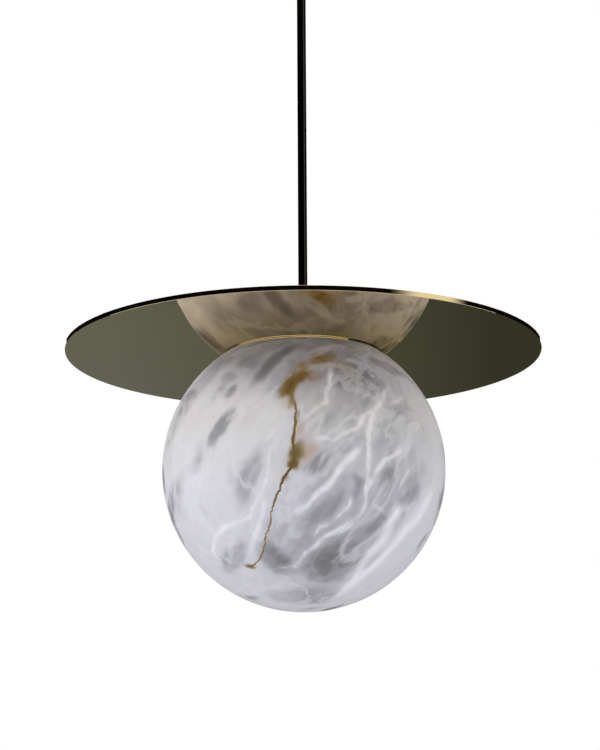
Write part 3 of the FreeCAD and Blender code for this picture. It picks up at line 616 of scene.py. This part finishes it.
def lens_from_picture(x, y, length, width, turn, strength):
    """Middle and two half axes, on the globe, of a lens given in the picture."""
    axes = []
    for reach, angle in ((length, math.radians(turn)), (width, math.radians(turn + 90))):
        right, down = reach * math.cos(angle), -reach * math.sin(angle)
        axes.append((on_stone(x + right, y + down) - on_stone(x - right, y - down)) / 2)
    return on_stone(x, y), axes[0], axes[1], strength


def lens_shade(points, lenses, softness=0.95):
    """How much of the lenses lies over each point, 0 to 1, with edges of a given softness."""
    shade = numpy.zeros(len(points))
    for middle, long_axis, short_axis, strength in lenses:
        away = points - numpy.array(middle)
        normal = long_axis.cross(short_axis).normalized() * long_axis.length
        reach = sum((away @ numpy.array(axis) / axis.length_squared) ** 2
                    for axis in (long_axis, short_axis, normal))
        cover = numpy.clip((1 + softness / 2 - numpy.sqrt(reach)) / softness, 0, 1)
        shade = 1 - (1 - shade) * (1 - strength * cover * cover * (3 - 2 * cover))
    return shade


def unsettled(points, size, amount):
    """Points pushed about by smooth noise, so that what is drawn at them comes out uneven."""
    pushes = [noise.noise_vector(Vector(point) / size) for point in points]
    return points + numpy.array(pushes) * amount


def vein_places(points, paths):
    """For each point: distance of the nearest vein in half widths of it, and of that vein the
    signed distance and half width in millimetres, strength, and place along it, 0 to 1."""
    best = numpy.full(len(points), 1e3)
    found = {key: numpy.zeros(len(points)) for key in ("side", "strength", "width", "along")}
    outward = points - numpy.array(globe_centre)
    for strength, width, path in paths:
        path = numpy.array(path)
        runs = numpy.linalg.norm(numpy.diff(path, axis=0), axis=1)
        total, before = runs.sum(), 0.0
        for start, end, run in zip(path[:-1], path[1:], runs):
            step = end - start
            share = numpy.clip((points - start) @ step / run ** 2, 0, 1)
            away = points - start - share[:, None] * step
            distance = numpy.linalg.norm(away, axis=1) * 1e3
            nearer = distance / width < best
            best[nearer] = distance[nearer] / width
            along = (before + share * run) / total
            sign = numpy.sign((numpy.cross(step, outward) * away).sum(1))
            fade = numpy.clip(numpy.minimum(along, 1 - along) * total / 0.012, 0.15, 1)
            for key, value in (("side", sign * distance), ("strength", strength * fade),
                               ("width", numpy.full(len(points), width)), ("along", along)):
                found[key][nearer] = value[nearer]
            before += run
    return best, found


def scattered(chance):
    """Lenses and veins for the stone that the picture doesn't show, along the same lie."""
    lenses, veins = [], []
    front = (eye - globe_centre).normalized()
    lie = (rightward * 0.62 + upward * 0.78).normalized()
    while len(lenses) < 170:
        way = Vector(chance.normal(size=3)).normalized()
        if way.dot(front) > 0.30:
            continue
        middle = globe_centre + way * globe_radius
        along = (lie - way * lie.dot(way) + Vector(chance.normal(size=3)) * 0.25)
        along = (along - way * along.dot(way)).normalized()
        length = chance.uniform(0.008, 0.026)
        lenses.append((middle, along * length, way.cross(along) * length
                       * chance.uniform(0.3, 0.75), chance.uniform(0.2, 0.6)))
    while len(veins) < 46:
        way = Vector(chance.normal(size=3)).normalized()
        if way.dot(front) > 0.15:
            continue
        path, heading = [], lie * chance.choice((-1, 1))
        for _ in range(chance.integers(5, 13)):
            path.append(globe_centre + way * globe_radius)
            heading = heading + Vector(chance.normal(size=3)) * 0.35
            heading = (heading - way * heading.dot(way)).normalized()
            way = (way + heading * 0.075).normalized()
            if way.dot(front) > 0.30:
                break
        if len(path) > 2:
            veins.append((chance.uniform(0.5, 1.0), chance.uniform(1.5, 3.2), path))
    return lenses, veins


far_from_veins = 50.0


def stone_marks(mesh):
    """Stores lenses, blots and veins on the outside's vertices for the stone's material."""
    count = len(mesh.vertices)
    places = numpy.zeros(count * 3)
    mesh.vertices.foreach_get("co", places)
    places = places.reshape(-1, 3)
    radii = numpy.linalg.norm(places - numpy.array(globe_centre), axis=1)
    outside = radii > globe_radius - globe_wall / 2
    points = places[outside]
    more_lenses, more_veins = scattered(numpy.random.default_rng(7))
    ruffled = unsettled(unsettled(points, 0.030, 0.007), 0.009, 0.0025)
    points = unsettled(unsettled(points, 0.025, 0.003), 0.008, 0.0012)
    lenses = [lens_from_picture(*lens) for lens in grey_lenses] + more_lenses
    blots = [lens_from_picture(*blot) for blot in brown_blots]
    rosy = [lens_from_picture(*blot) for blot in rosy_blots]
    pixel = (globe_centre - eye).length / focal_pixels * 1e3
    veins = [(strength, width * pixel, [on_stone(x, y) for x, y in path])
             for strength, width, path in white_veins] + more_veins
    near_white, white = vein_places(points, veins)
    near_brown, brown = vein_places(points, [(1.0, 1.0, [on_stone(x, y) for x, y in brown_line])])
    facing = (points - numpy.array(globe_centre)) @ numpy.array(-sight) / globe_radius
    layers = {
        "lenses": (lens_shade(ruffled, lenses), lens_shade(points, blots, 1.5),
                   lens_shade(ruffled, rosy, 1.6)),
        "white_vein": (near_white, white["strength"], white["width"]),
        "brown_vein": (near_brown, brown["side"], brown["along"]),
        "facing": (numpy.clip(facing, 0, 1),) * 3,
    }
    for name, columns in layers.items():
        values = numpy.zeros((count, 3))
        if name in ("white_vein", "brown_vein"):
            values[:, :2] = far_from_veins
        values[outside] = numpy.stack(columns, axis=1)
        layer = mesh.attributes.new(name, "FLOAT_VECTOR", "POINT")
        layer.data.foreach_set("vector", values.astype(numpy.float32).ravel())


def arc(radius, first_height, steps):
    """Points of a globe's arc from a height above its centre down to its lowest point."""
    start = math.acos(first_height / radius)
    return [(radius * math.sin(start + (math.pi - start) * i / steps),
             globe_centre.z + radius * math.cos(start + (math.pi - start) * i / steps))
            for i in range(steps)] + [(0.0, globe_centre.z - radius)]


alabaster, wires, sockets = surface("alabaster", IOR=1.52, Specular_IOR_Level=0.3,
                                    Subsurface_Weight=0.12, Subsurface_Scale=0.004)
place = wires.node("TexCoord", output=3)
lie_turn = 0.67
cell_scale = 62.0


def layer_part(name, part):
    """One of the three numbers that stone_marks stored under a name."""
    stored = wires.node("Attribute", output="Vector", attribute_name=name)
    return stored.node("SeparateXYZ", {0: stored}, output=part)


def stone_noise(scale, detail, stretch=1.0, roughness=0.5, distortion=0.0, output=0):
    """Noise in the stone, drawn out along its lie."""
    turned_place = place.node("Mapping", {"Vector": place, "Rotation": (0, lie_turn, 0),
                                          "Scale": (1, 1, stretch)}, vector_type="TEXTURE")
    return place.node("TexNoise", {"Vector": turned_place, "Scale": scale, "Detail": detail,
                                   "Roughness": roughness, "Distortion": distortion},
                      output=output)


facing = layer_part("facing", 0)
unseen = facing.rise(0.45, 0.15)
wander = stone_noise(55.0, 3.0)
grain = stone_noise(210.0, 4.0, 1.5)
wisps = stone_noise(26.0, 5.0, 2.5, 0.62, 0.6)
clouds = stone_noise(9.0, 3.0, 1.6)

# Cells between fine light seams, drawn out along the lie.
warp = place.node("TexNoise", {"Vector": place, "Scale": 30.0, "Detail": 3.0}, output=1)
bent = place.node("VectorMath", {0: place, 1: place.node(
    "VectorMath", {0: warp, "Scale": 0.022}, operation="SCALE")}, operation="ADD")
lain = place.node("Mapping", {"Vector": bent, "Rotation": (0, lie_turn, 0), "Scale": (1, 1, 2.4)},
                  vector_type="TEXTURE")
seam = place.node("TexVoronoi", {"Vector": lain, "Scale": cell_scale}, feature="DISTANCE_TO_EDGE")
cell = place.node("TexVoronoi", {"Vector": lain, "Scale": cell_scale}, output=1)
cell_shade = cell.node("SeparateXYZ", {0: cell}, output=0)

lens = layer_part("lenses", 0) * (wisps * 0.9 + 0.55)
cell_grey = cell_shade.rise(0.2, 1.0) * seam.rise(0.0, 0.5)
grey = lens + cell_grey * (unseen * 0.10 + 0.14) + (clouds - 0.5) * 0.20 + (wisps - 0.5) * 0.42
grey = grey + (grain - 0.5) * 0.06
seam_line = seam.rise(0.16, 0.0) * wisps.rise(0.42, 0.72) * (unseen * 0.3 + 0.2)
thread = abs(stone_noise(17.0, 4.0, 2.8, 0.55, 0.4) - 0.5).rise(0.05, 0.0) * 0.5

streaks = stone_noise(48.0, 4.0, 4.0, 0.6, 0.5).rise(0.36, 0.62)
near = layer_part("white_vein", 0)
strength = layer_part("white_vein", 1)
reach = near + ((wander - 0.5) * 2.0 + (grain - 0.5) * 1.6) / layer_part("white_vein", 2)
vein = reach.rise(wisps * 2.2 + 0.8, 0.0) * strength * (streaks * 0.5 + 0.65)
glow = near.rise(5.5, 0.3) * strength * (streaks * 0.7 + 0.35)

stone = wires.node("ValToRGB", {0: grey}, stops=[
    (0.0, photo_colour(219, 218, 221)), (0.18, photo_colour(205, 204, 208)),
    (0.40, photo_colour(168, 167, 172)), (0.62, photo_colour(138, 136, 139)),
    (1.0, photo_colour(104, 101, 96))])
stone = wires.mix(stone, photo_colour(226, 226, 229), seam_line.math("MAXIMUM", seam_line, thread))
stone = wires.mix(stone, photo_colour(222, 221, 224), glow * 0.55)
stone = wires.mix(stone, photo_colour(243, 242, 244), vein)
height = place.node("SeparateXYZ", {0: place}, output=2)
cool = wires.mix((1.0, 1.0, 1.0, 1), (0.985, 0.99, 1.045, 1), height.rise(-0.56, -0.68))
cool = wires.mix(cool, (0.92, 0.965, 1.16, 1), height.rise(-0.58, -0.49))
stone = wires.node("Mix", {0: 1.0, 6: stone, 7: cool}, output=2, data_type="RGBA",
                   blend_type="MULTIPLY")

rosy = layer_part("lenses", 2) * (wander * 0.8 + 0.5)
stone = wires.mix(stone, photo_colour(184, 150, 120), rosy)
along = layer_part("brown_vein", 2)
line_width = wires.node("ValToRGB", {0: along}, stops=[
    (0.0, 0.9), (0.16, 0.6), (0.30, 0.4), (0.44, 0.5), (0.55, 0.3), (1.0, 0.24)]) * 5.0
line_reach = abs(layer_part("brown_vein", 1) + (wander - 0.5) * 1.4 + (grain - 0.5) * 0.5)
line = (line_reach / line_width).rise(1.3, 0.3) * layer_part("brown_vein", 0).rise(7.0, 4.5)
line = line * wires.node("ValToRGB", {0: along}, stops=[
    (0.0, 0.25), (0.12, 0.45), (0.4, 0.75), (0.6, 0.95), (0.75, 0.62), (1.0, 0.75)])
blot = layer_part("lenses", 1)
blot = blot + ((wander - 0.5) * 0.5 + (grain - 0.5) * 0.3) * blot.rise(0.0, 0.3)
brown = blot.math("MAXIMUM", blot, line)
brown_tone = wires.node("ValToRGB", {0: brown}, stops=[
    (0.2, photo_colour(166, 150, 122)), (0.6, photo_colour(136, 114, 68)),
    (0.95, photo_colour(98, 72, 28))])
stone = wires.mix(stone, brown_tone, brown.rise(0.04, 0.72))
put(sockets["Base Color"], stone)
put(sockets["Roughness"], grain * 0.12 + 0.44)
put(sockets["Normal"], wires.node("Bump", {"Strength": 0.12, "Distance": 0.0004,
                                           "Height": grain + seam * 0.3}))

outside_arc = arc(globe_radius, cut_height, outer_steps)
inside_arc = arc(globe_radius - globe_wall, cut_height, inner_steps)
bm = turned(outside_arc + inside_arc[::-1], round_steps, closed=True)
for face in bm.faces:
    face.smooth = True
for edge in bm.edges:
    if edge.is_manifold and edge.calc_face_angle() > math.radians(30):
        edge.smooth = False
globe = fitted("globe_stone", bm, alabaster, "globe", "alabaster", "alabaster_globe")
stone_marks(globe.data)


# --- fitter ring and gasket -----------------------------------------------------------
# Brass ring, 1 mm, glued onto the stone round its mouth. A rubber gasket keeps it off the
# mirror.

rubber_bulge = 0.00008
black_rubber = grained("black_rubber", (20, 20, 20), (34, 34, 33), 0.0008, 0.7, 0.9, 0.00006)
paint(gold_brass, "fitter_ring")
pressed_ring("rubber_ring", black_rubber, "globe", "black_rubber", "fitter_gasket", rubber_bulge)


# --- studs and thumb nuts -------------------------------------------------------------
# Three M5 studs of brass rod, threaded end to end. They go up through the disc to nylon
# washers and fluted thumb nuts.

paint(white_nylon, "nut_washers")
paint(dark_bronze, "thumb_nut_1", "thumb_nut_2", "thumb_nut_3")
thread_sides = 36


def threaded(radius, depth, pitch, low, high, end_bevel):
    """Rod with a helical thread about the stem's axis, its ends bevelled and closed."""
    bm = bmesh.new()
    core = radius - depth
    rings = [(core, 0.0), (core, 0.15), (radius, 0.45), (radius, 0.6), (core, 0.9), (core, 1.0)]
    corners = [bm.verts.new((r, 0, low + share * pitch)) for r, share in rings]
    edges = [bm.edges.new(pair) for pair in zip(corners, corners[1:])]
    turns = round((high - low) / pitch) - 1
    bmesh.ops.spin(bm, geom=corners + edges, cent=(0, 0, 0), axis=(0, 0, 1),
                   dvec=(0, 0, pitch / thread_sides), angle=math.tau * turns,
                   steps=thread_sides * turns)
    bmesh.ops.remove_doubles(bm, verts=bm.verts, dist=pitch / 200)
    for level, outward in ((low, 1), (high, -1)):
        profile = [(0, 0, level), (core - end_bevel, 0, level),
                   (core, 0, level + outward * end_bevel), (core, 0, level + outward * pitch)]
        ends = [bm.verts.new(corner) for corner in profile]
        lines = [bm.edges.new(pair) for pair in zip(ends, ends[1:])]
        bmesh.ops.spin(bm, geom=ends + lines, cent=(0, 0, 0), axis=(0, 0, 1), angle=math.tau,
                       steps=thread_sides, use_merge=True)
    bmesh.ops.remove_doubles(bm, verts=bm.verts, dist=1e-6)
    bmesh.ops.recalc_face_normals(bm, faces=bm.faces)
    return bm


stud_low, stud_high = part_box("globe_studs")
stud_radius = 0.0025
stud_pitch = 0.0008
stud_thread_depth = 0.0004
stud_circle = stud_high.x - stud_radius
for number in range(3):
    bm = threaded(stud_radius, stud_thread_depth, stud_pitch, stud_low.z, stud_high.z,
                  stud_thread_depth)
    turn = Matrix.Rotation(math.tau * number / 3, 3, "Z")
    bmesh.ops.translate(bm, verts=bm.verts, vec=turn @ Vector((stud_circle, 0, 0)))
    fitted(f"stud_{number + 1}", bm, gold_brass, "globe", "gold_brass", "globe_studs")


# --- lamp ---------------------------------------------------------------------------
# E27 lamp: nickel-plated cap with a rolled thread, black insulator and tin contact, white
# painted collar and opal dome.

lamp_metal = grained("lamp_metal", (196, 194, 188), (218, 216, 210), 0.003, 0.16, 0.28,
                     Metallic=1.0)
lamp_white = grained("lamp_white", (226, 226, 224), (236, 236, 234), 0.0015, 0.34, 0.44,
                     0.00002)
lamp_opal = grained("lamp_opal", (234, 234, 230), (242, 242, 240), 0.02, 0.2, 0.3,
                    Subsurface_Weight=0.3, Subsurface_Scale=0.01)
paint(lamp_metal, "lamp_contact")
paint(black_phenolic, "lamp_insulator")
paint(lamp_white, "lamp_collar")
paint(lamp_opal, "lamp_dome")

cap_low, cap_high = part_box("lamp_cap")
cap_radius = cap_high.x
cap_pitch = 0.00363
cap_turns = 4
cap_wave = 0.0006
cap_sides = 60
cap_lip = 0.0025
cap_shoulder = 0.0035
thread_low = cap_low.z + cap_shoulder
bm = bmesh.new()
corners = [bm.verts.new((cap_radius - cap_wave * (1 + math.cos(math.tau * i / 8)), 0,
                         thread_low + cap_pitch * i / 8)) for i in range(9)]
edges = [bm.edges.new(pair) for pair in zip(corners, corners[1:])]
bmesh.ops.spin(bm, geom=corners + edges, cent=(0, 0, 0), axis=(0, 0, 1),
               dvec=(0, 0, cap_pitch / cap_sides), angle=math.tau * cap_turns,
               steps=cap_sides * cap_turns)
bmesh.ops.remove_doubles(bm, verts=bm.verts, dist=cap_pitch / 200)
inset = cap_radius - 2 * cap_wave
rim = [(cap_radius, cap_low.z), (cap_radius, cap_low.z + cap_lip), (inset, thread_low),
       (inset, cap_high.z - 0.001), (inset - 0.001, cap_high.z), (inset - 0.004, cap_high.z)]
corners = [bm.verts.new((r, 0, z)) for r, z in rim]
edges = [bm.edges.new(pair) for pair in zip(corners, corners[1:])]
bmesh.ops.spin(bm, geom=corners + edges, cent=(0, 0, 0), axis=(0, 0, 1), angle=math.tau,
               steps=cap_sides, use_merge=True)
bmesh.ops.recalc_face_normals(bm, faces=bm.faces)
for face in bm.faces:
    face.smooth = True
fitted("lamp_screw_cap", bm, lamp_metal, "lamp", "lamp_metal", "lamp_cap")
